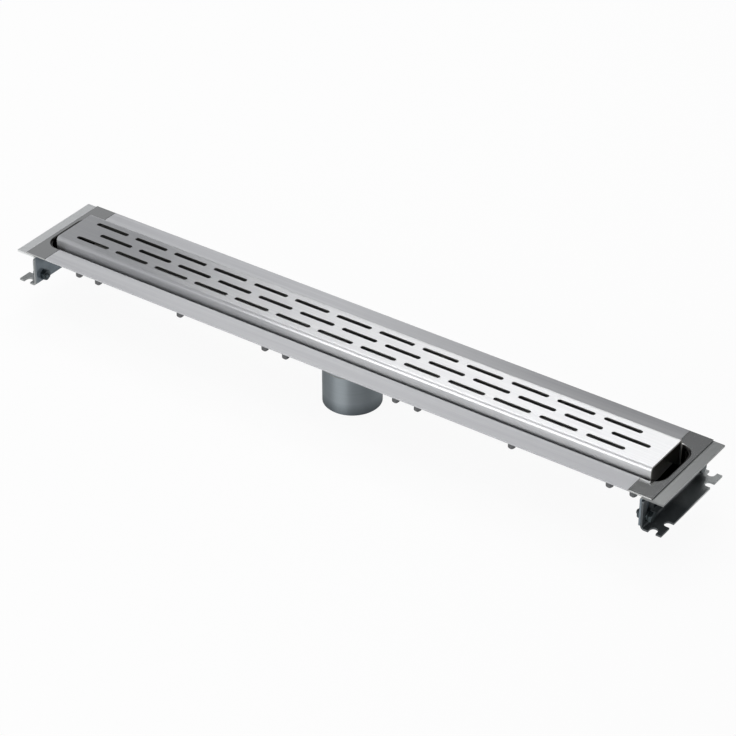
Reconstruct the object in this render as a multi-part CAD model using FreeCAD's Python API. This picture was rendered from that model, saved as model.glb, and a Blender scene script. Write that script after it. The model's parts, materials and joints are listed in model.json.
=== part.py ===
import FreeCAD, Part
import math
import os

Vector = FreeCAD.Vector

# Linear shower drain, in millimetres. The soles of the feet stand on z = 0, the outlet's axis is
# the z axis, the channel runs along x, and its front is on the -y side.

# Outlet
outlet_diameter = 59.7
outlet_wall = 1.6
outlet_reach = 30.5         # below the soles
outlet_chamfer = 0.8
outlet_weld = 2.5           # leg of the fillet weld between the outlet and the floor

# Channel body
overall_length = 762.0      # over the outer edges of the hangers and feet
hanger_strip = 12.0         # of each hanger, showing past the body's flange
end_flange = 7.0            # body's flange past the opening, at each end
long_flange = 24.75         # body's flange beside the opening
outlet_margin = 1.9         # between the outlet and the channel's walls
flange_height = 38.0        # top of the flange above the soles, with the legs raised
sheet = 1.5
bend = 1.5                  # inside radius of a fold
ledge_depth = 19.5          # from the top of the flange to the ledges that carry the grate
ledge_width = 6.75
floor_fall = 2.0            # from the ledges to the middle of the floor
pocket_corner = 14.0        # upright corners of an end cap's pocket
pocket_straight = 4.0       # from an end cap's seam to those corners

# Grate
grate_end_gap = 10.5        # to the ends of the opening, room for a finger
grate_side_gap = 3.25
grate_rise = 10.0           # above the top of the flange, for the tiles
grate_sheet = 2.0
grate_bend = 2.0
slot_length = 41.0
slot_width = 5.0
slot_pitch = 50.8
slot_margin = 16.0          # least plain stretch at an end of the grate
row_pitch = 15.9
row_shift = 8.8             # outer rows to the left, middle row to the right
drain_width = 10.0          # half-round cut-outs in the lower edges of the grate's walls
drain_pitch = 101.6
drain_margin = 40.0         # least plain stretch at an end of the grate's walls

# Hangers and legs
bracket_sheet = 2.0
bracket_bend = 2.0
hanger_inset = 5.0          # hanger's inner face inside the end of the opening
hanger_clearance = 2.0      # hanger's lower edge above the foot
weld_gap = 0.3              # between a hanger's cut-out and the fold of the pocket that it goes round
slide_gap = 0.1             # on each side of a leg's upright
ear_gap = 2.75              # between the pocket and the ears of a leg's upright
ear_clearance = 0.5         # top of an ear under the hanger's fold
ear_land = 3.2              # metal left between an ear's slot and its top
ear_corner = 3.0
bridge_clearance = 3.0      # leg's upright between its ears, under the floor
notch_width = 8.0
notch_depth = 7.5
notch_inset = 19.0          # from a foot's ends to the notches in its outer edge
side_notch_inset = 9.7      # from a foot's outer edge to the notches in its ends

# Bolts, washers and nuts
bolt_diameter = 6.0
bolt_clearance = 0.3        # all round, in holes and slots
bolt_tail = 2.4             # past the nut
head_width = 10.0           # across flats
head_thickness = 4.0
nut_thickness = 5.0
thread_gap = 0.05
hexagon_chamfer = 0.6
washer_diameter = 12.0
washer_thickness = 1.6
washer_clearance = 0.5      # above the fold of the foot

# Anchor studs
stud_diameter = 7.5
stud_point = 1.8            # chamfer at a stud's free end
stud_clearance = 3.2        # free ends above the soles
stud_inset = 11.25          # rows inside the channel's walls
stud_start = 66.0           # first stud from the outlet's axis
stud_pair = 25.4
stud_end_inset = 13.2       # last stud from the seam of an end cap

slight_bend = math.radians(15)      # a fold under this angle has no radius
overcut = 6.0                       # how far a cutting shape runs past what it cuts

# Levels and places that follow from the sizes above
opening_width = outlet_diameter + 2 * outlet_margin
flange_width = opening_width + 2 * long_flange
body_length = overall_length - 2 * hanger_strip
opening_length = body_length - 2 * end_flange
ledge_level = flange_height - ledge_depth
floor_level = ledge_level - floor_fall
under_flange = flange_height - sheet
cap_length = pocket_straight + pocket_corner + end_flange
seam = body_length / 2 - cap_length
bore_radius = outlet_diameter / 2 - outlet_wall
grate_length = opening_length - 2 * grate_end_gap
grate_width = opening_width - 2 * grate_side_gap
grate_top = flange_height + grate_rise
slot_run = grate_length - slot_length - 2 * row_shift - 2 * slot_margin
slot_count = int(slot_run / slot_pitch) + 1
drain_count = int((grate_length - 2 * drain_margin) / drain_pitch) + 1
outer_edge = overall_length / 2
hanger_face = opening_length / 2 - hanger_inset
leg_face = hanger_face + bracket_sheet + slide_gap
washer_face = leg_face + bracket_sheet + slide_gap
bracket_side = flange_width / 2
ear_side = opening_width / 2 + sheet + ear_gap
ear_top = under_flange - bracket_sheet - bracket_bend - ear_clearance
bolt_radius = bolt_diameter / 2
hole_radius = bolt_radius + bolt_clearance
bolt_side = (ear_side + bracket_side) / 2
bolt_height = bracket_sheet + bracket_bend + washer_clearance + washer_diameter / 2
leg_travel = ear_top - ear_land - hole_radius - bolt_height

along_x = Vector(1, 0, 0)
along_y = Vector(0, 1, 0)
along_z = Vector(0, 0, 1)


def direction(start, end):
    return (end - start).normalize()


def turn_at(before, corner, after, normal):
    # Positive where the path turns left, seen against the normal
    into = direction(before, corner)
    out = direction(corner, after)
    return math.atan2(into.cross(out).dot(normal), into.dot(out))


def corners_of(points):
    return list(zip(points, points[1:], points[2:]))


def offset_path(points, normal, distance):
    # The same path moved sideways, to the right of its run, with mitred corners
    rights = [direction(a, b).cross(normal) for a, b in zip(points, points[1:])]
    moved = [points[0] + rights[0] * distance]
    for corner, first, second in zip(points[1:], rights, rights[1:]):
        middle = first + second
        moved.append(corner + middle * (2 * distance / middle.dot(middle)))
    moved.append(points[-1] + rights[-1] * distance)
    return moved


def rounded_edges(points, radii):
    edges = []
    start = points[0]
    for (before, corner, after), radius in zip(corners_of(points), radii):
        into = direction(before, corner)
        out = direction(corner, after)
        if radius == 0:
            edges.append(Part.LineSegment(start, corner).toShape())
            start = corner
            continue
        half_turn = into.getAngle(out) / 2
        run = radius * math.tan(half_turn)
        first = corner - into * run
        last = corner + out * run
        inward = (out - into).normalize()
        middle = corner + inward * (radius / math.cos(half_turn) - radius)
        edges.append(Part.LineSegment(start, first).toShape())
        edges.append(Part.Arc(first, middle, last).toShape())
        start = last
    edges.append(Part.LineSegment(start, points[-1]).toShape())
    return edges


def closed_face(edges, *lines):
    joins = [Part.LineSegment(a, b).toShape() for a, b in lines]
    return Part.Face(Part.Wire(Part.__sortEdges__(edges + joins)))


def folded_strip(points, normal, thickness, inside_radius):
    # Section of a folded sheet: points run along one side, the sheet lies to their right
    near_radii = []
    far_radii = []
    for before, corner, after in corners_of(points):
        turn = turn_at(before, corner, after, normal)
        if abs(turn) < slight_bend:
            near_radii.append(0)
            far_radii.append(0)
        elif turn > 0:
            near_radii.append(inside_radius)
            far_radii.append(inside_radius + thickness)
        else:
            near_radii.append(inside_radius + thickness)
            far_radii.append(inside_radius)
    far = offset_path(points, normal, thickness)
    edges = rounded_edges(points, near_radii) + rounded_edges(far, far_radii)
    return closed_face(edges, (points[0], far[0]), (points[-1], far[-1]))


def both_ways(face, axis, length):
    # Extrusion of a face to both sides of its plane
    moved = face.translated(axis * (-length / 2))
    return moved.extrude(axis * length)


def slot_face(centre, along, across, length, width):
    # Obround slot in the plane of two directions
    reach = (length - width) / 2
    side = across * (width / 2)
    a = centre - along * reach
    b = centre + along * reach
    arcs = [
        Part.Arc(a - side, a - along * (width / 2), a + side).toShape(),
        Part.Arc(b - side, b + along * (width / 2), b + side).toShape(),
    ]
    return closed_face(arcs, (a - side, b - side), (a + side, b + side))


def edges_inside(shape, low, high):
    found = []
    for edge in shape.Edges:
        box = edge.BoundBox
        inside_x = low.x < box.XMin and box.XMax < high.x
        inside_y = low.y < box.YMin and box.YMax < high.y
        inside_z = low.z < box.ZMin and box.ZMax < high.z
        if inside_x and inside_y and inside_z:
            found.append(edge)
    return found


def turned_round(shape):
    # The left end is the right end turned half round the outlet's axis
    return shape.rotated(Vector(0, 0, 0), along_z, 180)


# Channel

def wall_path(top):
    # Inner side of the channel: down the front wall, over the floor, up the back wall
    wall = opening_width / 2
    ledge = wall - ledge_width
    return [
        Vector(0, -wall, top),
        Vector(0, -wall, ledge_level),
        Vector(0, -ledge, ledge_level),
        Vector(0, 0, floor_level),
        Vector(0, ledge, ledge_level),
        Vector(0, wall, ledge_level),
        Vector(0, wall, top),
    ]


def channel_core(offset, top):
    # Everything inside the channel's walls, or inside a line that far outside them
    points = offset_path(wall_path(top), along_x, offset)
    radii = [bend + offset, 0, 0, 0, bend + offset]
    edges = rounded_edges(points, radii)
    return both_ways(closed_face(edges, (points[0], points[-1])), along_x, overall_length)


def channel_trough():
    flange = flange_width / 2
    path = wall_path(flange_height)
    path.insert(0, Vector(0, -flange, flange_height))
    path.append(Vector(0, flange, flange_height))
    trough = both_ways(folded_strip(path, along_x, sheet, bend), along_x, 2 * seam)
    hole = Part.makeCylinder(bore_radius, ledge_depth + overcut, Vector(0, 0, floor_level - overcut))
    return trough.cut(hole)


def pocket(offset, start, top):
    # End of the channel in plan, with round upright corners, down to its floor
    wall = opening_width / 2 + offset
    end = opening_length / 2 + offset
    low = floor_level - offset - overcut
    corner = pocket_corner + offset
    plan = [
        Vector(start, -wall, low),
        Vector(end, -wall, low),
        Vector(end, wall, low),
        Vector(start, wall, low),
    ]
    face = closed_face(rounded_edges(plan, [corner, corner]), (plan[0], plan[-1]))
    return face.extrude(along_z * (top - low)).common(channel_core(offset, top))


def right_end_cap():
    corner = Vector(seam, -flange_width / 2, under_flange)
    plate = Part.makeBox(cap_length, flange_width, sheet, corner)
    pressed = plate.fuse(pocket(sheet, seam, flange_height))
    pressed = pressed.cut(pocket(0, seam - overcut, flange_height + overcut)).removeSplitter()
    for level, offset, radius in ((flange_height, 0, bend + sheet), (under_flange, sheet, bend)):
        tolerance = sheet / 10
        wall = opening_width / 2 + offset + tolerance
        end = opening_length / 2 + offset + tolerance
        low = Vector(seam - tolerance, -wall, level - tolerance)
        high = Vector(end, wall, level + tolerance)
        pressed = pressed.makeFillet(radius, edges_inside(pressed, low, high))
    return pressed


def outlet_spigot():
    # Pipe with its weld, trimmed to the underside of the floor
    length = outlet_reach + ledge_level
    foot = Vector(0, 0, -outlet_reach)
    radius = outlet_diameter / 2
    pipe = Part.makeCylinder(radius, length, foot)
    lower_rim = [edge for edge in pipe.Edges if edge.BoundBox.ZMax < -outlet_reach / 2]
    pipe = pipe.makeChamfer(outlet_chamfer, lower_rim)
    weld_level = floor_level - sheet
    bead = Part.makeCone(radius, radius + outlet_weld, outlet_weld, Vector(0, 0, weld_level - outlet_weld))
    rim = Part.makeCylinder(radius + outlet_weld, floor_fall + sheet, Vector(0, 0, weld_level))
    pipe = pipe.fuse([bead, rim]).cut(Part.makeCylinder(bore_radius, length, foot))
    return pipe.cut(channel_core(sheet, flange_height)).removeSplitter()


# Grate

def grate():
    side = grate_width / 2
    path = [
        Vector(0, -side, ledge_level),
        Vector(0, -side, grate_top),
        Vector(0, side, grate_top),
        Vector(0, side, ledge_level),
    ]
    folded = both_ways(folded_strip(path, along_x, grate_sheet, grate_bend), along_x, grate_length)
    cuts = []
    for row in (-1, 0, 1):
        shift = row_shift if row == 0 else -row_shift
        for number in range(slot_count):
            x = (number - (slot_count - 1) / 2) * slot_pitch + shift
            centre = Vector(x, row * row_pitch, grate_top - grate_sheet - overcut)
            face = slot_face(centre, along_x, along_y, slot_length, slot_width)
            cuts.append(face.extrude(along_z * (grate_sheet + 2 * overcut)))
    for number in range(drain_count):
        x = (number - (drain_count - 1) / 2) * drain_pitch
        centre = Vector(x, -side - overcut, ledge_level)
        cuts.append(Part.makeCylinder(drain_width / 2, grate_width + 2 * overcut, centre, along_y))
    return folded.cut(Part.makeCompound(cuts))


# Hangers and legs

def upright_slot(y, low, high):
    # Round-ended hole through the uprights for a bolt that sits between two heights
    centre = Vector(hanger_face - overcut, y, (low + high) / 2)
    length = high - low + 2 * hole_radius
    depth = along_x * (washer_face - hanger_face + 2 * overcut)
    if high == low:
        return Part.makeCylinder(hole_radius, depth.Length, centre, along_x)
    return slot_face(centre, along_z, along_y, length, 2 * hole_radius).extrude(depth)


def right_hanger():
    path = [
        Vector(hanger_face, 0, bracket_sheet + hanger_clearance),
        Vector(hanger_face, 0, under_flange),
        Vector(outer_edge, 0, under_flange),
    ]
    section = folded_strip(path, -along_y, bracket_sheet, bracket_bend)
    angle = both_ways(section, along_y, flange_width)
    cuts = [pocket(sheet + bend + weld_gap, seam - overcut, flange_height)]
    for y in (-bolt_side, bolt_side):
        cuts.append(upright_slot(y, bolt_height, bolt_height))
    return angle.cut(Part.makeCompound(cuts))


def foot_notch(mouth, inward, across):
    # Open notch with a round end, cut into a foot's edge for a fixing screw
    length = notch_depth + overcut
    face = slot_face(mouth + inward * (notch_depth - length / 2), inward, across, length, notch_width)
    return face.extrude(along_z * (bracket_sheet + 2 * overcut))


def right_leg():
    path = [
        Vector(outer_edge, 0, 0),
        Vector(leg_face, 0, 0),
        Vector(leg_face, 0, ear_top),
    ]
    section = folded_strip(path, -along_y, bracket_sheet, bracket_bend)
    angle = both_ways(section, along_y, flange_width)
    window = Vector(leg_face - overcut, -ear_side, floor_level - sheet - bridge_clearance)
    cuts = [Part.makeBox(bracket_sheet + 2 * overcut, 2 * ear_side, ear_top, window)]
    for end in (-1, 1):
        cuts.append(upright_slot(end * bolt_side, bolt_height, bolt_height + leg_travel))
        outer = Vector(outer_edge, end * (bracket_side - notch_inset), -overcut)
        cuts.append(foot_notch(outer, -along_x, along_y))
        short = Vector(outer_edge - side_notch_inset, end * bracket_side, -overcut)
        cuts.append(foot_notch(short, along_y * -end, along_x))
    leg = angle.cut(Part.makeCompound(cuts))
    tolerance = bracket_sheet / 10
    low = Vector(leg_face - tolerance, -bracket_side - tolerance, ear_top - tolerance)
    high = Vector(leg_face + bracket_sheet + tolerance, bracket_side + tolerance, ear_top + tolerance)
    across = [edge for edge in edges_inside(leg, low, high) if edge.BoundBox.YLength < tolerance]
    return leg.makeFillet(ear_corner, across)


# Bolts, washers and nuts

def hexagon(face, thickness):
    # Hexagon along x with its corners chamfered on both faces
    corner_radius = head_width / 2 / math.cos(math.pi / 6)
    corners = [Vector(face, 0, corner_radius)]
    for number in range(1, 7):
        turn = number * math.pi / 3
        corners.append(Vector(face, corner_radius * math.sin(turn), corner_radius * math.cos(turn)))
    prism = Part.Face(Part.makePolygon(corners)).extrude(along_x * thickness)
    barrel = Part.makeCylinder(corner_radius, thickness, Vector(face, 0, 0), along_x)
    rims = [edge for edge in barrel.Edges if edge.BoundBox.XLength < hexagon_chamfer]
    return prism.common(barrel.makeChamfer(hexagon_chamfer, rims))


def bolt():
    seat = washer_face + washer_thickness
    tail = hanger_face - nut_thickness - bolt_tail
    shank = Part.makeCylinder(bolt_radius, seat - tail, Vector(tail, 0, 0), along_x)
    rim = [edge for edge in shank.Edges if edge.BoundBox.XMax < tail + hexagon_chamfer]
    shank = shank.makeChamfer(hexagon_chamfer, rim)
    return shank.fuse(hexagon(seat, head_thickness)).removeSplitter()


def washer():
    ring = Part.makeCylinder(washer_diameter / 2, washer_thickness, Vector(washer_face, 0, 0), along_x)
    hole = Part.makeCylinder(hole_radius, washer_thickness, Vector(washer_face, 0, 0), along_x)
    return ring.cut(hole)


def nut():
    face = hanger_face - nut_thickness
    hole = Part.makeCylinder(bolt_radius + thread_gap, nut_thickness, Vector(face, 0, 0), along_x)
    return hexagon(face, nut_thickness).cut(hole)


def bolted_pair(piece):
    places = [Vector(0, side * bolt_side, bolt_height) for side in (-1, 1)]
    return Part.makeCompound([piece.translated(place) for place in places])


# Anchor studs

def anchor_studs(row):
    # A pair beside the outlet, a pair at the cap's seam and one midway between them
    inner = stud_start + stud_pair
    last = seam - stud_end_inset
    outer = last - stud_pair
    places = [stud_start, inner, (inner + outer) / 2, outer, last]
    radius = stud_diameter / 2
    pin = Part.makeCylinder(radius, ledge_level - sheet - stud_clearance, Vector(0, 0, stud_clearance))
    tip = [edge for edge in pin.Edges if edge.BoundBox.ZMax < stud_clearance + stud_point]
    pin = pin.makeChamfer(stud_point, tip)
    pin.translate(along_y * (row * (opening_width / 2 - stud_inset)))
    pin = pin.cut(channel_core(sheet, flange_height))
    pins = [pin.translated(along_x * (side * place)) for side in (-1, 1) for place in places]
    return Part.makeCompound(pins)


right_pieces = {
    "end_cap": right_end_cap(),
    "hanger": right_hanger(),
    "leg": right_leg(),
    "leg_bolts": bolted_pair(bolt()),
    "leg_washers": bolted_pair(washer()),
    "leg_nuts": bolted_pair(nut()),
}
pieces = {
    "channel_trough": channel_trough(),
    "outlet_spigot": outlet_spigot(),
    "grate": grate(),
    "front_anchor_studs": anchor_studs(-1),
    "back_anchor_studs": anchor_studs(1),
}
for name, shape in right_pieces.items():
    pieces["right_" + name] = shape
    pieces["left_" + name] = turned_round(shape)

os.makedirs("parts", exist_ok=True)
for name, shape in pieces.items():
    shape.exportStep("parts/" + name + ".step")
    box = shape.BoundBox
    print(name, "solids", len(shape.Solids), "valid", shape.isValid(), "volume", round(shape.Volume),
          "z", round(box.ZMin, 2), round(box.ZMax, 2))
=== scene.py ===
import bpy
import json
import math
from mathutils import Matrix, Vector


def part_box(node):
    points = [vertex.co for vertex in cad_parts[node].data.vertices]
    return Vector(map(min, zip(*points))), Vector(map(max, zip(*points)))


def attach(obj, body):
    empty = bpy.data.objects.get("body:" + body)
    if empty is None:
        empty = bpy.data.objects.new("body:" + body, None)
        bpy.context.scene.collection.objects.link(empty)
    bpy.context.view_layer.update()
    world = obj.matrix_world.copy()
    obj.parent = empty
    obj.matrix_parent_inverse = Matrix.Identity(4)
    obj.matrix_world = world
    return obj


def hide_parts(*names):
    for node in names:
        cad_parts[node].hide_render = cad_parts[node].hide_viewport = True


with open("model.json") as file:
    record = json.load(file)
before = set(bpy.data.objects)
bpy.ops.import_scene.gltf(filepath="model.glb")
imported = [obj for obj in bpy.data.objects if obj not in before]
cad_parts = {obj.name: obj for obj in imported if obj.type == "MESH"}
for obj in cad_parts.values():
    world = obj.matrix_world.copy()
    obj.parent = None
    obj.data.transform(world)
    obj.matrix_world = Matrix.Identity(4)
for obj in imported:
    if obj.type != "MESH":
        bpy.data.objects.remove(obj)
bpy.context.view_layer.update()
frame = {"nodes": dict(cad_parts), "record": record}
nodes = frame["nodes"]
mm = 0.001
print("frame loaded:", len(nodes), "nodes")


# helpers for colours and nodes

noiseLow, noiseHigh = 0.3, 0.7      # nearly all values of a noise texture lie between these
sumLow, sumHigh = 0.7, 1.3          # and those of the sum of two between these
upFacing = 0.5                      # least upward part of a normal that counts as facing up


def linearColour(hexText):
    # sRGB hex to the linear colour that the sockets take
    values = [int(hexText[i:i + 2], 16) / 255 for i in (1, 3, 5)]
    linear = [v / 12.92 if v <= 0.04045 else ((v + 0.055) / 1.055) ** 2.4 for v in values]
    return (*linear, 1.0)


def addNode(tree, kind, inputs=None, **settings):
    # settings go on the node and inputs on its sockets: a hex colour is turned to linear, and a
    # node or a socket is linked
    node = tree.nodes.new(kind)
    for name, value in settings.items():
        setattr(node, name, value)
    for name, value in (inputs or {}).items():
        if isinstance(value, str):
            value = linearColour(value)
        if isinstance(value, bpy.types.Node):
            value = next(output for output in value.outputs if output.enabled)
        if isinstance(value, bpy.types.NodeSocket):
            tree.links.new(value, node.inputs[name])
        else:
            node.inputs[name].default_value = value
    return node


def newMaterial(name):
    material = bpy.data.materials.new(name)
    material.use_nodes = True
    material.node_tree.nodes.clear()
    return material, material.node_tree


def finishMaterial(tree, shader):
    addNode(tree, "ShaderNodeOutputMaterial", {"Surface": shader})


def perMetre(sizes):
    # a pattern's sizes in millimetres to the scale of its coordinates
    return tuple(1 / (size * mm) for size in sizes)


def readSurface(tree):
    # where a point is, whole and along each axis, and which way its face points
    place = addNode(tree, "ShaderNodeTexCoord").outputs["Object"]
    at = addNode(tree, "ShaderNodeSeparateXYZ", {"Vector": place}).outputs
    facing = addNode(tree, "ShaderNodeNewGeometry").outputs["True Normal"]
    to = addNode(tree, "ShaderNodeSeparateXYZ", {"Vector": facing}).outputs
    return place, at, to


# camera, as the photograph was taken

cameraSettings = {
    "azimuth": 35.241,      # degrees, from the front towards the right end
    "elevation": 33.86,
    "roll": -0.097,
    "distance": 2696.3,     # mm, to the outlet's axis at the feet
    "aimRight": 15.28,      # mm, what the middle of the frame looks at, beside the axis
    "aimUp": 5.121,
    "lens": 134.57,         # mm
    "sensor": 36,           # mm, square
    "clipStart": 50,        # mm
}


def makeCamera(s):
    azimuth = math.radians(s["azimuth"])
    elevation = math.radians(s["elevation"])
    roll = math.radians(s["roll"])
    level = math.cos(elevation)
    back = Vector((math.sin(azimuth) * level, -math.cos(azimuth) * level, math.sin(elevation)))
    flatRight = Vector((math.cos(azimuth), math.sin(azimuth), 0))
    flatUp = back.cross(flatRight)
    right = flatRight * math.cos(roll) + flatUp * math.sin(roll)
    up = flatUp * math.cos(roll) - flatRight * math.sin(roll)
    eye = (back * s["distance"] + right * s["aimRight"] + up * s["aimUp"]) * mm
    data = bpy.data.cameras.new("camera")
    data.lens = s["lens"]
    data.sensor_width = s["sensor"]
    data.clip_start = s["clipStart"] * mm
    camera = bpy.data.objects.new("camera", data)
    bpy.context.scene.collection.objects.link(camera)
    turn = Matrix((right, up, back)).transposed().to_4x4()
    camera.matrix_world = Matrix.Translation(eye) @ turn
    bpy.context.scene.camera = camera


makeCamera(cameraSettings)
print("camera placed")


# materials

brushedSettings = {
    "light": "#C7C8CA",
    "dark": "#BABBBE",
    "backShade": "#D0D0D0",         # painted shade: multiplies the colour along the back edge, towards the right
    "shadeFade": (-60, 260),        # mm along x, over which that begins
    "inside": "#A6A6A2",
    "insideFade": (8, 14),          # mm under the flange, between which the inner walls turn darker with painted shade
    "scratch": (60, 0.9, 0.9),      # mm, of one scratch
    "band": (260, 5, 5),            # mm, of the slower bands that the belt leaves
    "roughness": (0.56, 0.64),
    "depth": 0.05,                  # mm
    "bumpStrength": 0.12,
}


def brushedStainless(s):
    # stainless steel, belt brushed along its length: fine lines and a broad soft sheen with no
    # clear reflections. Real scratches are under 0.1 mm wide and are drawn wider so that they show
    material, tree = newMaterial("stainless_belt_brushed")
    place, at, to = readSurface(tree)
    scratchSpread = addNode(tree, "ShaderNodeMapping",
                            {"Vector": place, "Scale": perMetre(s["scratch"])})
    scratch = addNode(tree, "ShaderNodeTexNoise", {"Vector": scratchSpread, "Scale": 1, "Detail": 3})
    bandSpread = addNode(tree, "ShaderNodeMapping", {"Vector": place, "Scale": perMetre(s["band"])})
    band = addNode(tree, "ShaderNodeTexNoise", {"Vector": bandSpread, "Scale": 1, "Detail": 2})
    both = addNode(tree, "ShaderNodeMath", {0: scratch, 1: band}, operation="ADD")
    tone = addNode(tree, "ShaderNodeMapRange", {"Value": both, "From Min": sumLow, "From Max": sumHigh})
    colour = addNode(tree, "ShaderNodeMix", {"Factor": tone, "A": s["dark"], "B": s["light"]},
                     data_type="RGBA")
    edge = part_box("channel_trough")[1]
    # painted shade along the back flange, growing towards the right end
    backward = addNode(tree, "ShaderNodeMapRange",
                       {"Value": at["Y"], "From Min": -edge.y, "From Max": edge.y})
    near, far = s["shadeFade"]
    rightward = addNode(tree, "ShaderNodeMapRange",
                        {"Value": at["X"], "From Min": near * mm, "From Max": far * mm})
    shade = addNode(tree, "ShaderNodeMath", {0: backward, 1: rightward}, operation="MULTIPLY")
    shaded = addNode(tree, "ShaderNodeMix", {"Factor": shade, "A": colour, "B": s["backShade"]},
                     data_type="RGBA", blend_type="MULTIPLY")
    # painted shade inside: the walls' inner faces and what faces up, below the fold, turn darker
    across = addNode(tree, "ShaderNodeMath", {0: to["Y"], 1: at["Y"]}, operation="MULTIPLY")
    inward = addNode(tree, "ShaderNodeMath", {0: across, 1: 0}, operation="LESS_THAN")
    upward = addNode(tree, "ShaderNodeMath", {0: to["Z"], 1: upFacing}, operation="GREATER_THAN")
    looksIn = addNode(tree, "ShaderNodeMath", {0: inward, 1: upward}, operation="MAXIMUM")
    near, far = s["insideFade"]
    deep = addNode(tree, "ShaderNodeMapRange",
                   {"Value": at["Z"], "From Min": edge.z - near * mm, "From Max": edge.z - far * mm})
    inside = addNode(tree, "ShaderNodeMath", {0: looksIn, 1: deep}, operation="MULTIPLY")
    final = addNode(tree, "ShaderNodeMix", {"Factor": inside, "A": shaded, "B": s["inside"]},
                    data_type="RGBA")
    smooth, coarse = s["roughness"]
    roughness = addNode(tree, "ShaderNodeMapRange",
                        {"Value": scratch, "From Min": noiseLow, "From Max": noiseHigh,
                         "To Min": smooth, "To Max": coarse})
    bump = addNode(tree, "ShaderNodeBump",
                   {"Height": scratch, "Strength": s["bumpStrength"], "Distance": s["depth"] * mm})
    shader = addNode(tree, "ShaderNodeBsdfPrincipled",
                     {"Base Color": final, "Metallic": 1, "Roughness": roughness, "Normal": bump})
    finishMaterial(tree, shader)
    return material


grateSettings = {
    "light": "#D4D5D6",
    "dark": "#CACBCD",
    # the underside and the slots' walls: unbuffed skin, painted dark as shade
    "inside": "#7C7C79",
    "skinDepth": 1.2,               # mm, how far in from its sides the buffing wheel reaches
    "skinFacing": (0.1, 0.3),       # upward part of the normal, between which the skin begins
    "scratch": (90, 0.7, 0.7),      # mm, wider than a real one so that it shows
    "scratchSpan": (0.35, 0.65),    # of their noise, from dark to light
    "cloud": (120, 30, 30),         # mm, of the patches where the wheel bit more
    "roughness": (0.29, 0.32),
    "anisotropy": 1.0,
    "depth": 0.03,                  # mm
    "bumpStrength": 0.03,
}


def buffedStainless(s):
    # stainless steel, buffed along its length after folding: bright, with its reflections drawn
    # out across the grain. The underside and the slots' walls are the unbuffed mill skin, and are
    # painted much darker as shade
    material, tree = newMaterial("stainless_buffed")
    place, at, to = readSurface(tree)
    scratchSpread = addNode(tree, "ShaderNodeMapping",
                            {"Vector": place, "Scale": perMetre(s["scratch"])})
    scratch = addNode(tree, "ShaderNodeTexNoise", {"Vector": scratchSpread, "Scale": 1, "Detail": 3})
    cloudSpread = addNode(tree, "ShaderNodeMapping", {"Vector": place, "Scale": perMetre(s["cloud"])})
    cloud = addNode(tree, "ShaderNodeTexNoise", {"Vector": cloudSpread, "Scale": 1, "Detail": 2})
    low, high = s["scratchSpan"]
    tone = addNode(tree, "ShaderNodeMapRange", {"Value": scratch, "From Min": low, "From Max": high})
    colour = addNode(tree, "ShaderNodeMix", {"Factor": tone, "A": s["dark"], "B": s["light"]},
                     data_type="RGBA")
    # the buffed skin: what faces up, and the outer faces of the walls and ends
    low, high = s["skinFacing"]
    skin = addNode(tree, "ShaderNodeMapRange", {"Value": to["Z"], "From Min": low, "From Max": high})
    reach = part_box("grate")[1]
    for axis, half in (("X", reach.x), ("Y", reach.y)):
        out = addNode(tree, "ShaderNodeMath", {0: at[axis]}, operation="ABSOLUTE")
        outer = addNode(tree, "ShaderNodeMath", {0: out, 1: half - s["skinDepth"] * mm},
                        operation="GREATER_THAN")
        skin = addNode(tree, "ShaderNodeMath", {0: skin, 1: outer}, operation="MAXIMUM")
    # everything else, the underside and the slots' walls, is painted dark as shade
    final = addNode(tree, "ShaderNodeMix", {"Factor": skin, "A": s["inside"], "B": colour},
                    data_type="RGBA")
    both = addNode(tree, "ShaderNodeMath", {0: scratch, 1: cloud}, operation="ADD")
    smooth, coarse = s["roughness"]
    roughness = addNode(tree, "ShaderNodeMapRange",
                        {"Value": both, "From Min": sumLow, "From Max": sumHigh,
                         "To Min": smooth, "To Max": coarse})
    bump = addNode(tree, "ShaderNodeBump",
                   {"Height": scratch, "Strength": s["bumpStrength"], "Distance": s["depth"] * mm})
    across = addNode(tree, "ShaderNodeTangent", direction_type="RADIAL", axis="X")
    shader = addNode(tree, "ShaderNodeBsdfPrincipled",
                     {"Base Color": final, "Metallic": 1, "Roughness": roughness, "Normal": bump,
                      "Anisotropic": s["anisotropy"], "Tangent": across})
    finishMaterial(tree, shader)
    return material


capSettings = {
    "light": "#C4C5C4",
    "dark": "#BFC0BF",
    # painted shade, near black, in the pocket
    "inside": "#20201F",
    "foldFade": (0.004, 0.02),      # m, tilt of the fold times its distance from the middle
    "floorBelow": 2,                # mm over the ledges, under which the pocket's floor takes the painted shade
    "wave": (45, 45, 45),           # mm, of the slow waves that pressing leaves in the sheet
    "grain": (0.5, 14, 14),         # mm, of the lines that rolling left in it, coarse enough to show
    "roughness": (0.085, 0.105),
    "depth": 0.03,                  # mm
    "bumpStrength": 1,
}


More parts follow.
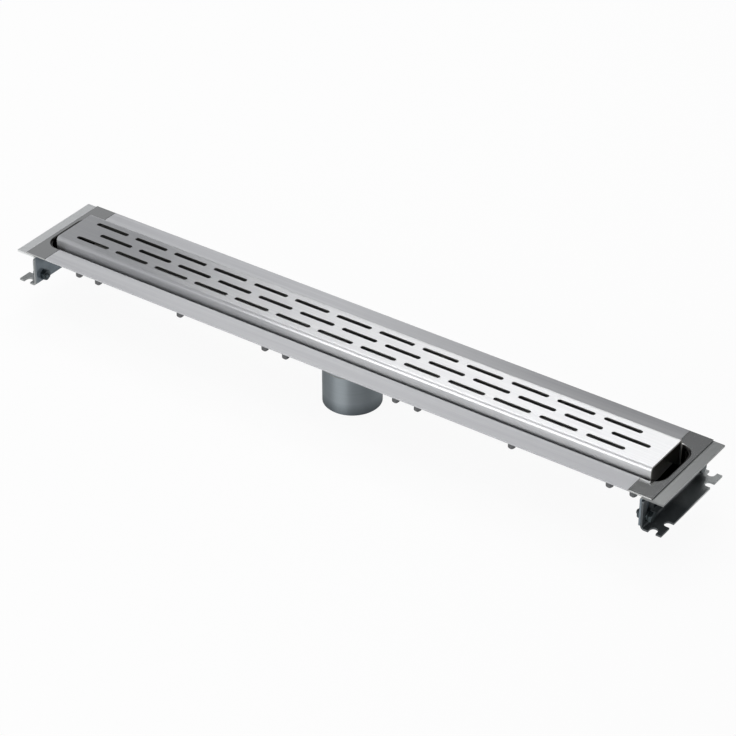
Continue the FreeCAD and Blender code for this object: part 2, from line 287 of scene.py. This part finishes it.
def brightStainless(s):
    # bright annealed stainless steel, deep drawn: mirror-like, with slow waves from the press.
    # The pocket is painted near black, as shade
    material, tree = newMaterial("stainless_bright_drawn")
    place, at, to = readSurface(tree)
    waveSpread = addNode(tree, "ShaderNodeMapping", {"Vector": place, "Scale": perMetre(s["wave"])})
    wave = addNode(tree, "ShaderNodeTexNoise", {"Vector": waveSpread, "Scale": 1, "Detail": 0})
    grainSpread = addNode(tree, "ShaderNodeMapping", {"Vector": place, "Scale": perMetre(s["grain"])})
    grain = addNode(tree, "ShaderNodeTexNoise", {"Vector": grainSpread, "Scale": 1, "Detail": 3})
    tone = addNode(tree, "ShaderNodeMapRange",
                   {"Value": grain, "From Min": noiseLow, "From Max": noiseHigh})
    colour = addNode(tree, "ShaderNodeMix", {"Factor": tone, "A": s["dark"], "B": s["light"]},
                     data_type="RGBA")
    # painted shade in the pocket: faces that lean to the middle of the drain, and its floor
    along = addNode(tree, "ShaderNodeMath", {0: to["X"], 1: at["X"]}, operation="MULTIPLY")
    outward = addNode(tree, "ShaderNodeMath", {0: to["Y"], 1: at["Y"], 2: along},
                      operation="MULTIPLY_ADD")
    flat, leaning = s["foldFade"]
    inward = addNode(tree, "ShaderNodeMapRange",
                     {"Value": outward, "From Min": -flat, "From Max": -leaning})
    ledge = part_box("grate")[0].z
    under = addNode(tree, "ShaderNodeMath", {0: at["Z"], 1: ledge + s["floorBelow"] * mm},
                    operation="LESS_THAN")
    upward = addNode(tree, "ShaderNodeMath", {0: to["Z"], 1: upFacing}, operation="GREATER_THAN")
    bottom = addNode(tree, "ShaderNodeMath", {0: under, 1: upward}, operation="MULTIPLY")
    inside = addNode(tree, "ShaderNodeMath", {0: inward, 1: bottom}, operation="MAXIMUM")
    final = addNode(tree, "ShaderNodeMix", {"Factor": inside, "A": colour, "B": s["inside"]},
                    data_type="RGBA")
    smooth, coarse = s["roughness"]
    roughness = addNode(tree, "ShaderNodeMapRange",
                        {"Value": grain, "From Min": noiseLow, "From Max": noiseHigh,
                         "To Min": smooth, "To Max": coarse})
    bump = addNode(tree, "ShaderNodeBump",
                   {"Height": wave, "Strength": s["bumpStrength"], "Distance": s["depth"] * mm})
    shader = addNode(tree, "ShaderNodeBsdfPrincipled",
                     {"Base Color": final, "Metallic": 1, "Roughness": roughness, "Normal": bump})
    finishMaterial(tree, shader)
    return material


tubeSettings = {
    "light": "#90979B",
    "dark": "#8A9195",
    "ring": (60, 60, 0.5),          # mm, of the rings that grinding leaves, coarse enough to show
    "paintedRimShade": "#B4B7BA",          # painted shade: multiplies the colour at the lower rim, darker towards it
    "rimFade": 14,                  # mm, how far up that reaches
    "roughness": (0.53, 0.56),
    "anisotropy": 0.8,
    "sheenTurn": 0.25,              # of a turn, which sets the stripes upright
    "depth": 0.05,                  # mm
    "bumpStrength": 0.03,
}


def satinTube(s):
    # welded stainless tube, satin ground round its axis: faint rings, and reflections drawn out
    # into soft upright stripes
    material, tree = newMaterial("stainless_satin_tube")
    place = addNode(tree, "ShaderNodeTexCoord").outputs["Object"]
    at = addNode(tree, "ShaderNodeSeparateXYZ", {"Vector": place}).outputs
    ringSpread = addNode(tree, "ShaderNodeMapping", {"Vector": place, "Scale": perMetre(s["ring"])})
    ring = addNode(tree, "ShaderNodeTexNoise", {"Vector": ringSpread, "Scale": 1, "Detail": 3})
    tone = addNode(tree, "ShaderNodeMapRange",
                   {"Value": ring, "From Min": noiseLow, "From Max": noiseHigh})
    colour = addNode(tree, "ShaderNodeMix", {"Factor": tone, "A": s["dark"], "B": s["light"]},
                     data_type="RGBA")
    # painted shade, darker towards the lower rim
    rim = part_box("outlet_spigot")[0].z
    atRim = addNode(tree, "ShaderNodeMapRange",
                    {"Value": at["Z"], "From Min": rim + s["rimFade"] * mm, "From Max": rim})
    final = addNode(tree, "ShaderNodeMix", {"Factor": atRim, "A": colour, "B": s["paintedRimShade"]},
                    data_type="RGBA", blend_type="MULTIPLY")
    smooth, coarse = s["roughness"]
    roughness = addNode(tree, "ShaderNodeMapRange",
                        {"Value": ring, "From Min": noiseLow, "From Max": noiseHigh,
                         "To Min": smooth, "To Max": coarse})
    bump = addNode(tree, "ShaderNodeBump",
                   {"Height": ring, "Strength": s["bumpStrength"], "Distance": s["depth"] * mm})
    aroundAxis = addNode(tree, "ShaderNodeTangent", direction_type="RADIAL", axis="Z")
    shader = addNode(tree, "ShaderNodeBsdfPrincipled",
                     {"Base Color": final, "Metallic": 1, "Roughness": roughness, "Normal": bump,
                      "Anisotropic": s["anisotropy"], "Anisotropic Rotation": s["sheenTurn"],
                      "Tangent": aroundAxis})
    finishMaterial(tree, shader)
    return material


bracketSettings = {
    "hanger": {
        "name": "steel_galvanised_dulled",
        "coat": "#7C868D",
        "coatDark": "#707A81",
        "cut": "#7A7F82",
        # painted light on the top, lighter at the left end than at the right
        "paintedLightLeft": "#E8EAEA",
        "paintedLightRight": "#8E9090",
        "paintedLightOnTop": True,
        "paintedLightFade": (-2.5, -1.9),       # mm from its top, between which the painted light begins
        "roughness": (0.17, 0.2),
        "paintedLightRoughness": 0.3,
    },
    "leg": {
        "name": "steel_black_passivated",
        "coat": "#4A4F52",
        "coatDark": "#3E4346",
        "cut": "#A0A3A3",
        "paintedLightLeft": "#A0A3A3",
        "paintedLightRight": "#A0A3A3",
        "paintedLightOnTop": False,               # its foot takes the painted light instead, at the lit end
        "paintedLightFade": (3.6, 1.8),         # mm from its sole
        "roughness": (0.3, 0.4),
        "paintedLightRoughness": 0.35,
    },
    "coatMetallic": 0.45,               # the dark skin is part oxide
    "spangle": (6, 6, 6),               # mm
    "litEndFade": 8,                    # mm along y, between a foot's shaded and lit ends
    "leastLitEnd": 0.08,                # what shows of the painted light at the shaded end
    "cutFacing": (0.6, 0.9),            # y part of the normal, between which a face is a cut edge
}


def bracketSteel(kind):
    # folded mild steel with a dark passivated skin, cloudy as dipped zinc is. Painted light makes it
    # lighter, as bare steel, where light falls: the hanger's top, lighter at its left end than at its
    # right, and one end of each bracket's foot and cut edges, which are one part turned round
    s = {**bracketSettings, **bracketSettings[kind]}
    material, tree = newMaterial(s["name"])
    place, at, to = readSurface(tree)
    spangleSpread = addNode(tree, "ShaderNodeMapping",
                            {"Vector": place, "Scale": perMetre(s["spangle"])})
    spangle = addNode(tree, "ShaderNodeTexNoise", {"Vector": spangleSpread, "Scale": 1, "Detail": 3})
    tone = addNode(tree, "ShaderNodeMapRange",
                   {"Value": spangle, "From Min": noiseLow, "From Max": noiseHigh})
    coat = addNode(tree, "ShaderNodeMix", {"Factor": tone, "A": s["coatDark"], "B": s["coat"]},
                   data_type="RGBA")
    # painted light where light falls: the hanger's top and the legs' feet
    bottom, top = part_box("left_" + kind)
    datum = top.z if s["paintedLightOnTop"] else bottom.z
    start, end = s["paintedLightFade"]
    bare = addNode(tree, "ShaderNodeMapRange",
                   {"Value": at["Z"], "From Min": datum + start * mm, "From Max": datum + end * mm})
    cutEdge = addNode(tree, "ShaderNodeMath", {0: to["Y"]}, operation="ABSOLUTE")
    low, high = s["cutFacing"]
    cutBare = addNode(tree, "ShaderNodeMapRange", {"Value": cutEdge, "From Min": low, "From Max": high})
    # painted light at one end of each bracket, on the foot and on the cut edges
    corner = addNode(tree, "ShaderNodeMath", {0: at["X"], 1: at["Y"]}, operation="MULTIPLY")
    fade = s["litEndFade"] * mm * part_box("right_leg")[1].x
    rubbedEnd = addNode(tree, "ShaderNodeMapRange",
                        {"Value": corner, "From Min": -fade, "From Max": fade,
                         "To Min": s["leastLitEnd"]})
    if not s["paintedLightOnTop"]:
        bare = addNode(tree, "ShaderNodeMath", {0: bare, 1: rubbedEnd}, operation="MULTIPLY")
    cutRubbed = addNode(tree, "ShaderNodeMath", {0: cutBare, 1: rubbedEnd}, operation="MULTIPLY")
    edged = addNode(tree, "ShaderNodeMix", {"Factor": cutRubbed, "A": coat, "B": s["cut"]},
                    data_type="RGBA")
    # painted light, lighter at the left end than at the right
    rightward = addNode(tree, "ShaderNodeMath", {0: at["X"], 1: 0}, operation="GREATER_THAN")
    rubbed = addNode(tree, "ShaderNodeMix",
                     {"Factor": rightward, "A": s["paintedLightLeft"], "B": s["paintedLightRight"]}, data_type="RGBA")
    final = addNode(tree, "ShaderNodeMix", {"Factor": bare, "A": edged, "B": rubbed}, data_type="RGBA")
    anyBare = addNode(tree, "ShaderNodeMath", {0: bare, 1: cutRubbed}, operation="MAXIMUM")
    metallic = addNode(tree, "ShaderNodeMapRange", {"Value": anyBare, "To Min": s["coatMetallic"]})
    smooth, coarse = s["roughness"]
    coatRoughness = addNode(tree, "ShaderNodeMapRange",
                            {"Value": spangle, "From Min": noiseLow, "From Max": noiseHigh,
                             "To Min": smooth, "To Max": coarse})
    roughness = addNode(tree, "ShaderNodeMix",
                        {"Factor": anyBare, "A": coatRoughness, "B": s["paintedLightRoughness"]})
    shader = addNode(tree, "ShaderNodeBsdfPrincipled",
                     {"Base Color": final, "Metallic": metallic, "Roughness": roughness})
    finishMaterial(tree, shader)
    return material


smallMetalSettings = {
    # cold headed steel, zinc plated and passivated: grey with cloudy patches and soft glints
    "zinc": {
        "name": "steel_zinc_plated",
        "light": "#5A6265",
        "dark": "#3E4548",
        "pattern": (1.5, 1.5, 1.5),     # mm, of one patch in a noise
        "detail": 3,                    # octaves of that noise
        "toneSpan": (0.3, 0.7),         # of its values, from dark to light
        "roughness": (0.28, 0.42),
    },
    # stainless wire, cold drawn and cropped: faint lines along its length
    "stud": {
        "name": "stainless_drawn_wire",
        "light": "#7C7D7E",
        "dark": "#626364",
        "pattern": (0.5, 0.5, 9),       # mm, of one line
        "detail": 2,
        "toneSpan": (0.3, 0.7),
        "roughness": (0.34, 0.46),
        "depth": 0.03,                  # mm
        "bumpStrength": 0.3,
    },
    # stainless weld, brushed but not pickled: grey with straw and brown heat tint in patches
    "weld": {
        "name": "stainless_weld",
        "light": "#9A958C",
        "dark": "#6F6A66",
        "pattern": (2.5, 2.5, 2.5),     # mm, of one patch
        "detail": 2,
        "toneSpan": (0.35, 0.65),
        "roughness": (0.3, 0.45),
    },
    # sheared edge of stainless sheet: matt and pale, streaked through the sheet
    "sheared": {
        "name": "stainless_sheared",
        "light": "#C9C9C5",
        "dark": "#A8A8A4",
        "pattern": (0.4, 0.4, 6),       # mm, of one streak
        "detail": 2,
        "toneSpan": (0.35, 0.65),
        "roughness": (0.7, 0.8),
    },
}


def smallMetal(kind):
    # colour and roughness both follow one pattern of patches or lines. The real lines are finer,
    # and are drawn this wide so that they show
    s = smallMetalSettings[kind]
    material, tree = newMaterial(s["name"])
    place = addNode(tree, "ShaderNodeTexCoord").outputs["Object"]
    spread = addNode(tree, "ShaderNodeMapping", {"Vector": place, "Scale": perMetre(s["pattern"])})
    pattern = addNode(tree, "ShaderNodeTexNoise", {"Vector": spread, "Scale": 1, "Detail": s["detail"]})
    low, high = s["toneSpan"]
    tone = addNode(tree, "ShaderNodeMapRange", {"Value": pattern, "From Min": low, "From Max": high})
    colour = addNode(tree, "ShaderNodeMix", {"Factor": tone, "A": s["dark"], "B": s["light"]},
                     data_type="RGBA")
    smooth, coarse = s["roughness"]
    roughness = addNode(tree, "ShaderNodeMapRange",
                        {"Value": pattern, "From Min": noiseLow, "From Max": noiseHigh,
                         "To Min": smooth, "To Max": coarse})
    surface = {"Base Color": colour, "Metallic": 1, "Roughness": roughness}
    if "depth" in s:
        surface["Normal"] = addNode(tree, "ShaderNodeBump",
                                    {"Height": pattern, "Strength": s["bumpStrength"],
                                     "Distance": s["depth"] * mm})
    finishMaterial(tree, addNode(tree, "ShaderNodeBsdfPrincipled", surface))
    return material


materials = {
    "brushed": brushedStainless(brushedSettings),
    "buffed": buffedStainless(grateSettings),
    "drawn": brightStainless(capSettings),
    "tube": satinTube(tubeSettings),
    "hanger": bracketSteel("hanger"),
    "leg": bracketSteel("leg"),
    "zinc": smallMetal("zinc"),
    "stud": smallMetal("stud"),
    "weld": smallMetal("weld"),
    "sheared": smallMetal("sheared"),
}
print("materials made:", len(materials))


# helpers for pieces

meshSettings = {
    "mergeGap": 0.002,      # mm, under which the corners of triangles are one
    "flatWithin": 0.5,      # degrees, between faces that become one
    "bevelFrom": 40,        # degrees, the least angle of an edge that is softened
    "bevelSegments": 2,
    "smoothUnder": 35,      # degrees, between faces that shade as one
}


def workOn(piece):
    bpy.ops.object.select_all(action="DESELECT")
    piece.select_set(True)
    bpy.context.view_layer.objects.active = piece


def mergedCopy(node, name):
    # a copy of a node with its loose triangles joined
    piece = bpy.data.objects.new(name, nodes[node].data.copy())
    bpy.context.scene.collection.objects.link(piece)
    workOn(piece)
    bpy.ops.object.mode_set(mode="EDIT")
    bpy.ops.mesh.select_all(action="SELECT")
    bpy.ops.mesh.remove_doubles(threshold=meshSettings["mergeGap"] * mm)
    bpy.ops.mesh.dissolve_limited(angle_limit=math.radians(meshSettings["flatWithin"]))
    bpy.ops.object.mode_set(mode="OBJECT")
    return piece


def placedCopy(model, placing):
    # a copy with a mesh of its own, and its place in that mesh
    piece = bpy.data.objects.new(model.name + "_copy", model.data.copy())
    bpy.context.scene.collection.objects.link(piece)
    piece.matrix_world = placing
    workOn(piece)
    bpy.ops.object.transform_apply(location=True, rotation=True, scale=True)
    return piece


def joinPieces(parts, name):
    workOn(parts[0])
    for part in parts:
        part.select_set(True)
    bpy.ops.object.join()
    parts[0].name = name
    return parts[0]


def selectVertices(piece, test):
    # selects by place, and stays in edit mode
    workOn(piece)
    bpy.ops.object.mode_set(mode="EDIT")
    bpy.ops.mesh.select_mode(type="VERT")
    bpy.ops.mesh.select_all(action="DESELECT")
    bpy.ops.object.mode_set(mode="OBJECT")
    for vertex in piece.data.vertices:
        vertex.select = test(vertex.co)
    bpy.ops.object.mode_set(mode="EDIT")


def turnOf(at):
    # place round the z axis, in turns
    return math.atan2(at.y, at.x) / math.tau


# edges of the pieces, softened as deburring and plating leave them

edgeSettings = {
    # node: new piece, body, slot, material, edge radius in mm
    "channel_trough": ("channel_sheet", "channel", "channel_steel", "brushed", 0.25),
    "left_end_cap": ("left_pressed_cap", "channel", "cap_steel", "drawn", 0.25),
    "right_end_cap": ("right_pressed_cap", "channel", "cap_steel", "drawn", 0.25),
    "outlet_spigot": ("outlet_pipe", "channel", "outlet_steel", "tube", 0.2),
    "grate": ("grate_sheet", "channel", "grate_steel", "buffed", 0.4),
    "left_hanger": ("left_hanger_angle", "channel", "hanger_steel", "hanger", 0.3),
    "right_hanger": ("right_hanger_angle", "channel", "hanger_steel", "hanger", 0.3),
    "left_leg": ("left_leg_angle", "left_leg", "leg_coat", "leg", 0.3),
    "right_leg": ("right_leg_angle", "right_leg", "leg_coat", "leg", 0.3),
    "left_leg_washers": ("left_flat_washers", "channel", "fastener_zinc", "zinc", 0.15),
    "right_leg_washers": ("right_flat_washers", "channel", "fastener_zinc", "zinc", 0.15),
    "left_leg_nuts": ("left_hexagon_nuts", "channel", "fastener_zinc", "zinc", 0.15),
    "right_leg_nuts": ("right_hexagon_nuts", "channel", "fastener_zinc", "zinc", 0.15),
    "left_leg_bolts": ("left_threaded_bolts", "channel", "fastener_zinc", "zinc", 0.15),
    "right_leg_bolts": ("right_threaded_bolts", "channel", "fastener_zinc", "zinc", 0.15),
}


def softenedPiece(node, settings):
    name, body, slotName, materialName, radius = settings
    piece = mergedCopy(node, name)
    bevel = piece.modifiers.new("deburred", "BEVEL")
    bevel.width = radius * mm
    bevel.segments = meshSettings["bevelSegments"]
    bevel.limit_method = "ANGLE"
    bevel.angle_limit = math.radians(meshSettings["bevelFrom"])
    bpy.ops.object.modifier_apply(modifier=bevel.name)
    bpy.ops.object.shade_smooth_by_angle(angle=math.radians(meshSettings["smoothUnder"]))
    weighted = piece.modifiers.new("flats", "WEIGHTED_NORMAL")
    weighted.keep_sharp = True
    bpy.ops.object.modifier_apply(modifier=weighted.name)
    piece.data.materials.clear()
    piece.data.materials.append(materials[materialName])
    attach(piece, body)
    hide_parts(node)
    return piece


leastEndFacing = 0.2        # x part of the normal of a face on the grate's cut ends


def shearEnds(piece):
    # the grate's two ends show the sheet's cut edge
    piece.data.materials.append(materials["sheared"])
    *_, radius = edgeSettings["grate"]
    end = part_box("grate")[1].x - radius * mm
    for polygon in piece.data.polygons:
        if abs(polygon.center.x) > end and abs(polygon.normal.x) > leastEndFacing:
            polygon.material_index = 1


pieces = {}
for node, settings in edgeSettings.items():
    pieces[node] = softenedPiece(node, settings)
    print("softened", pieces[node].name, len(pieces[node].data.polygons), "faces")
shearEnds(pieces["grate"])


# threads on the bolts' tails

threadSettings = {
    "diameter": 6.0,        # mm, over the crests
    "pitch": 1.0,           # mm
    "depth": 0.55,          # mm, from crest to core
    "sink": 0.15,           # mm, of the ridge's foot in the core
    "footWidth": 0.85,      # mm
    "turns": 2,
    "steps": 24,            # in a turn
    "startInNut": 0.5,      # mm, of the ridge that the nut hides
    "neck": (0.4, 0.2),     # mm inside the nut, between which the shank narrows to the core
    "slack": 0.05,          # mm, so that the neck's end counts as part of the tail
}


def threadRidge(s):
    # one right-hand ridge along x, wound from a three-cornered section
    bpy.ops.object.select_all(action="DESELECT")
    bpy.ops.mesh.primitive_circle_add(vertices=3, radius=mm)
    ridge = bpy.context.object
    ridge.name = "thread_ridge"
    width, height = ridge.dimensions.x, ridge.dimensions.y
    tall = (s["depth"] + s["sink"]) * mm
    crest = max(vertex.co.y for vertex in ridge.data.vertices) * tall / height
    bpy.ops.object.mode_set(mode="EDIT")
    bpy.ops.transform.resize(value=(s["footWidth"] * mm / width, tall / height, 1),
                             center_override=(0, 0, 0))
    bpy.ops.transform.translate(value=(0, s["diameter"] / 2 * mm - crest, 0))
    bpy.ops.object.mode_set(mode="OBJECT")
    winding = ridge.modifiers.new("winding", "SCREW")
    winding.axis = "X"
    winding.screw_offset = s["pitch"] * mm
    winding.iterations = s["turns"]
    winding.steps = s["steps"]
    winding.render_steps = s["steps"]
    bpy.ops.object.modifier_apply(modifier=winding.name)
    bpy.ops.object.mode_set(mode="EDIT")
    bpy.ops.mesh.select_all(action="SELECT")
    bpy.ops.mesh.fill_holes(sides=3)
    bpy.ops.mesh.normals_make_consistent(inside=False)
    bpy.ops.object.mode_set(mode="OBJECT")
    bpy.ops.object.shade_smooth_by_angle(angle=math.radians(meshSettings["smoothUnder"]))
    ridge.data.materials.append(materials["zinc"])
    return ridge


def threadTails(side, ridge, s):
    bolts = pieces[side + "_leg_bolts"]
    name = bolts.name
    inward = -1 if side == "right" else 1
    nutFace = min((corner.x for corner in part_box(side + "_leg_nuts")), key=abs)
    workOn(bolts)
    cuts = [nutFace - inward * depth * mm for depth in s["neck"]]
    for cut in cuts:
        bpy.ops.object.mode_set(mode="EDIT")
        bpy.ops.mesh.select_all(action="SELECT")
        bpy.ops.mesh.bisect(plane_co=(cut, 0, 0), plane_no=(1, 0, 0))
        bpy.ops.object.mode_set(mode="OBJECT")
    core = 1 - 2 * s["depth"] / s["diameter"]
    tailStart = cuts[1] - inward * s["slack"] * mm
    low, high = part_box(side + "_leg_bolts")
    height = (low.z + high.z) / 2
    ridges = []
    for end in (-1, 1):
        spread = [vertex.co.y for vertex in bolts.data.vertices if vertex.co.y * end > 0]
        across = (min(spread) + max(spread)) / 2
        selectVertices(bolts, lambda at: at.y * end > 0 and (at.x - tailStart) * inward > 0)
        bpy.ops.transform.resize(value=(1, core, core), center_override=(0, across, height))
        bpy.ops.object.mode_set(mode="OBJECT")
        ridgeStart = nutFace - inward * s["startInNut"] * mm
        if inward < 0:
            ridgeStart -= s["turns"] * s["pitch"] * mm
        ridges.append(placedCopy(ridge, Matrix.Translation((ridgeStart, across, height))))
    joinPieces([bolts] + ridges, name)
    print(name, "threaded:", len(bolts.data.polygons), "faces")


ridge = threadRidge(threadSettings)
for side in ("left", "right"):
    threadTails(side, ridge, threadSettings)
bpy.data.objects.remove(ridge)


# welds, laid where the pieces of the channel meet

beadSettings = {
    "leg": 2.5,             # mm, of the fillet weld that the bead lies on
    "thickness": 1.7,       # mm, radius of the bead's section
    "sink": 1.15,           # mm, its middle behind the face of the fillet
    "ripples": 70,
    "rippleHeight": 0.16,   # mm
    "sides": 10,
}


def outletBead(s):
    # rippled bead round the outlet, under the floor
    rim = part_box("outlet_spigot")[1].x
    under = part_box("channel_trough")[0].z
    back = (s["leg"] / 2 + s["sink"] / math.sqrt(2)) * mm
    height = under - s["leg"] * mm + back
    steps = 2 * s["ripples"]
    bpy.ops.object.select_all(action="DESELECT")
    bpy.ops.mesh.primitive_torus_add(major_radius=rim - back, minor_radius=s["thickness"] * mm,
                                     major_segments=steps, minor_segments=s["sides"],
                                     location=(0, 0, height))
    bead = bpy.context.object
    bead.name = "outlet_weld_bead"
    bpy.ops.object.transform_apply(location=True, rotation=True, scale=True)
    selectVertices(bead, lambda at: round(turnOf(at) * steps) % 2 == 0)
    bpy.ops.transform.shrink_fatten(value=s["rippleHeight"] * mm)
    bpy.ops.object.mode_set(mode="OBJECT")
    rounding = bead.modifiers.new("rounding", "SUBSURF")
    rounding.levels = 1
    rounding.render_levels = 1
    bpy.ops.object.modifier_apply(modifier=rounding.name)
    bpy.ops.object.shade_smooth()
    bead.data.materials.append(materials["weld"])
    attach(bead, "channel")
    print("outlet bead laid:", len(bead.data.polygons), "faces")


collarSettings = {
    "studRadius": 3.75,     # mm
    "thickness": 0.9,       # mm, radius of the flash's section
    "flatness": 0.6,
    "floorRun": 25.0,       # mm, of the floor that falls to the middle
    "floorFall": 2.0,       # mm
    "sheet": 1.5,           # mm
    "steps": 28,
    "sides": 8,
    "lobes": 5,             # round the ring, where more metal was squeezed out
    "lobeShare": 0.45,      # of the way from one lobe to the next
    "lobeHeight": 0.35,     # mm
    "smoothing": 0.5,       # share of the way to the mean of its neighbours
    "turn": 70,             # degrees, of each ring from the last
}


def studCollar(s):
    # flash that stud welding squeezes out, a flat ring with uneven lobes
    bpy.ops.object.select_all(action="DESELECT")
    bpy.ops.mesh.primitive_torus_add(major_radius=s["studRadius"] * mm,
                                     minor_radius=s["thickness"] * mm,
                                     major_segments=s["steps"], minor_segments=s["sides"])
    collar = bpy.context.object
    collar.name = "stud_collar"
    collar.scale.z = s["flatness"]
    bpy.ops.object.transform_apply(location=True, rotation=True, scale=True)
    selectVertices(collar, lambda at: turnOf(at) * s["lobes"] % 1 < s["lobeShare"])
    bpy.ops.transform.shrink_fatten(value=s["lobeHeight"] * mm)
    bpy.ops.mesh.select_all(action="SELECT")
    bpy.ops.mesh.vertices_smooth(factor=s["smoothing"])
    bpy.ops.object.mode_set(mode="OBJECT")
    bpy.ops.object.shade_smooth()
    return collar


def studWelds(row, collar, s):
    # a ring at the root of every stud in a row, tilted as the floor falls
    node = row + "_anchor_studs"
    low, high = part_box(node)
    side = (low.y + high.y) / 2
    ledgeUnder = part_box("grate")[0].z - s["sheet"] * mm
    slope = s["floorFall"] / s["floorRun"]
    root = ledgeUnder - (s["floorRun"] * mm - abs(side)) * slope
    tilt = Matrix.Rotation(math.copysign(math.atan(slope), side), 4, "X")
    edges = sorted(vertex.co.x for vertex in nodes[node].data.vertices)
    gaps = [i for i in range(1, len(edges)) if edges[i] - edges[i - 1] > s["studRadius"] * mm]
    firsts = [edges[i] for i in [0] + gaps]
    lasts = [edges[i - 1] for i in gaps + [len(edges)]]
    rings = []
    for first, last in zip(firsts, lasts):
        place = Matrix.Translation(((first + last) / 2, side, root))
        turn = Matrix.Rotation(math.radians(s["turn"] * len(rings)), 4, "Z")
        rings.append(placedCopy(collar, place @ tilt @ turn))
    piece = joinPieces(rings, row + "_stud_welds")
    piece.data.materials.append(materials["weld"])
    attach(piece, "channel")
    print(piece.name, "laid:", len(firsts), "rings")


outletBead(beadSettings)
collar = studCollar(collarSettings)
for row in ("front", "back"):
    studWelds(row, collar, collarSettings)
    studs = nodes[row + "_anchor_studs"].data.materials
    studs.clear()
    studs.append(materials["stud"])
bpy.data.objects.remove(collar)


# stage

stageSettings = {
    "floorSize": 12.0,          # m
    "floorDrop": 0.2,           # mm under the outlet's rim
    "floorColour": "#F6F6F6",
    "whitening": 0.92,          # how far the floor is lifted to white where it is seen
    "mirrorWhitening": 0.38,    # the same in reflections
}


def makeFloor(s):
    bpy.ops.object.select_all(action="DESELECT")
    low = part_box("outlet_spigot")[0].z - s["floorDrop"] * mm
    bpy.ops.mesh.primitive_plane_add(size=s["floorSize"], location=(0, 0, low))
    floor = bpy.context.object
    floor.name = "floor"
    material, tree = newMaterial("floor_paper")
    paper = addNode(tree, "ShaderNodeBsdfDiffuse", {"Color": s["floorColour"]})
    glow = addNode(tree, "ShaderNodeEmission", {"Color": "#FFFFFF", "Strength": 1})
    path = addNode(tree, "ShaderNodeLightPath").outputs
    mirrored = addNode(tree, "ShaderNodeMath",
                       {0: path["Is Glossy Ray"], 1: path["Is Transmission Ray"]}, operation="MAXIMUM")
    mirroredShare = addNode(tree, "ShaderNodeMath", {0: mirrored, 1: s["mirrorWhitening"]},
                            operation="MULTIPLY")
    seenShare = addNode(tree, "ShaderNodeMath", {0: path["Is Camera Ray"], 1: s["whitening"]},
                        operation="MULTIPLY")
    share = addNode(tree, "ShaderNodeMath", {0: seenShare, 1: mirroredShare}, operation="MAXIMUM")
    # inside the outlet the floor stays as dark as the pipe leaves it
    place = addNode(tree, "ShaderNodeTexCoord").outputs["Object"]
    fromAxis = addNode(tree, "ShaderNodeVectorMath", {0: place}, operation="LENGTH")
    bore = next(mount for mount in frame["record"]["mounts"] if mount["name"] == "outlet_bore")
    outside = addNode(tree, "ShaderNodeMath", {0: fromAxis, 1: bore["dims"]["r_mm"] * mm},
                      operation="GREATER_THAN")
    openShare = addNode(tree, "ShaderNodeMath", {0: share, 1: outside}, operation="MULTIPLY")
    both = addNode(tree, "ShaderNodeMixShader", {"Fac": openShare, 1: paper, 2: glow})
    finishMaterial(tree, both)
    floor.data.materials.append(material)


lampSettings = {
    # place and size in m, and radiance with lit white paper at 1
    "backSoftbox": {"place": (-0.74, 1.06, 1.94), "size": (1.3, 0.94), "radiance": 3.65},
    "topSoftbox": {"place": (0.12, -0.1, 2.4), "size": (1.1, 0.7), "radiance": 3.4},
    "frontSoftbox": {"place": (-0.25, -1.9, 0.43), "size": (1.8, 0.74), "radiance": 4.4},
    "leftSoftbox": {"place": (-1.80, -0.16, 1.26), "size": (1.2, 0.9), "radiance": 1.0},
}
lampColour = "#FFFEFD"


def makeLamp(name, s):
    data = bpy.data.lights.new(name, "AREA")
    data.shape = "RECTANGLE"
    data.size, data.size_y = s["size"]
    data.energy = s["radiance"] * math.pi * data.size * data.size_y
    data.color = linearColour(lampColour)[:3]
    lamp = bpy.data.objects.new(name, data)
    bpy.context.scene.collection.objects.link(lamp)
    lamp.location = s["place"]
    lamp.rotation_euler = Vector(s["place"]).to_track_quat("Z", "Y").to_euler()
    lamp.visible_camera = False


worldSettings = {
    "horizon": 1.0,
    "overhead": 0.23,
    "leftWall": 0.42,
    "frontWall": 0.5,
    "overheadColour": "#FBFCFF",
    "fade": (0.1, 0.25),            # rise of the direction over which the horizon's white ends
    "leftFade": (-0.38, -0.6),      # its x over which the lighter left wall begins
    "frontFade": (-0.1, -0.5),      # its y over which the lighter front wall begins
}


def makeWorld(s):
    # white at the horizon and dark overhead, so that bright metal has something to show
    world = bpy.data.worlds.new("studio")
    bpy.context.scene.world = world
    world.use_nodes = True
    tree = world.node_tree
    tree.nodes.clear()
    place = addNode(tree, "ShaderNodeTexCoord").outputs["Generated"]
    to = addNode(tree, "ShaderNodeSeparateXYZ", {"Vector": place}).outputs
    near, far = s["leftFade"]
    upper = addNode(tree, "ShaderNodeMapRange",
                    {"Value": to["X"], "From Min": near, "From Max": far,
                     "To Min": s["overhead"], "To Max": s["leftWall"]}, interpolation_type="SMOOTHSTEP")
    near, far = s["frontFade"]
    forward = addNode(tree, "ShaderNodeMapRange", {"Value": to["Y"], "From Min": near, "From Max": far},
                      interpolation_type="SMOOTHSTEP")
    walls = addNode(tree, "ShaderNodeMix", {"Factor": forward, "A": upper, "B": s["frontWall"]})
    low, high = s["fade"]
    rise = addNode(tree, "ShaderNodeMapRange", {"Value": to["Z"], "From Min": low, "From Max": high},
                   interpolation_type="SMOOTHSTEP")
    level = addNode(tree, "ShaderNodeMix", {"Factor": rise, "A": s["horizon"], "B": walls})
    colour = addNode(tree, "ShaderNodeMix", {"Factor": rise, "A": "#FFFFFF", "B": s["overheadColour"]},
                     data_type="RGBA")
    light = addNode(tree, "ShaderNodeBackground", {"Color": colour, "Strength": level})
    addNode(tree, "ShaderNodeOutputWorld", {"Surface": light})


makeFloor(stageSettings)
for name, settings in lampSettings.items():
    makeLamp(name, settings)
makeWorld(worldSettings)
bpy.context.scene.view_settings.view_transform = "Standard"
print("stage made")
